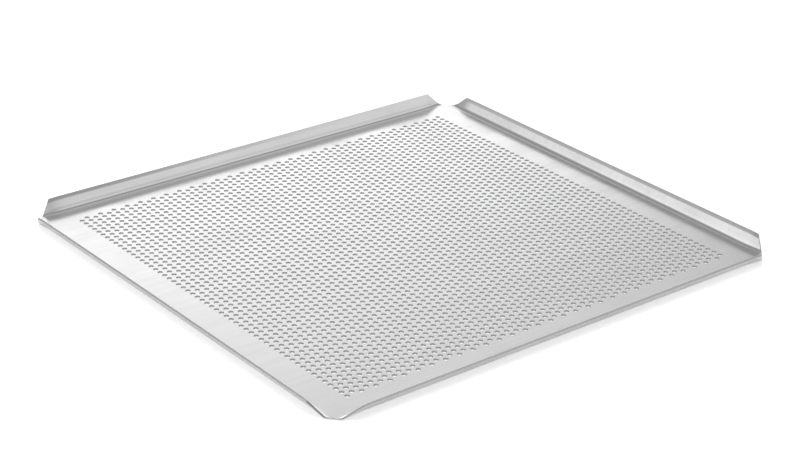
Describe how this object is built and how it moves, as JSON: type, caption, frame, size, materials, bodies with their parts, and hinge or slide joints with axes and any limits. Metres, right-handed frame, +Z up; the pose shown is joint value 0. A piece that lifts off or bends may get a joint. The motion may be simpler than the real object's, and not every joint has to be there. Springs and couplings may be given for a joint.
{
  "type": "perforated baking tray",
  "caption": "Flat perforated aluminium baking tray in a gastronorm two-thirds size, with flared rims on all sides and cut-back corners.",
  "frame": {"origin": "centre of the tray, on the underside of the floor panel, which is what it rests on", "axes": "+X along the longer side, towards rim_right; +Y towards rim_back; +Z up, out of the floor on the side that carries the goods"},
  "size_m": [0.354, 0.325, 0.01],
  "materials": {
    "aluminium_sheet": "satin"
  },
  "bodies": {
    "root": {"floor_panel": "aluminium_sheet", "rim_front": "aluminium_sheet", "rim_back": "aluminium_sheet", "rim_left": "aluminium_sheet", "rim_right": "aluminium_sheet"}
  },
  "joints": []
}
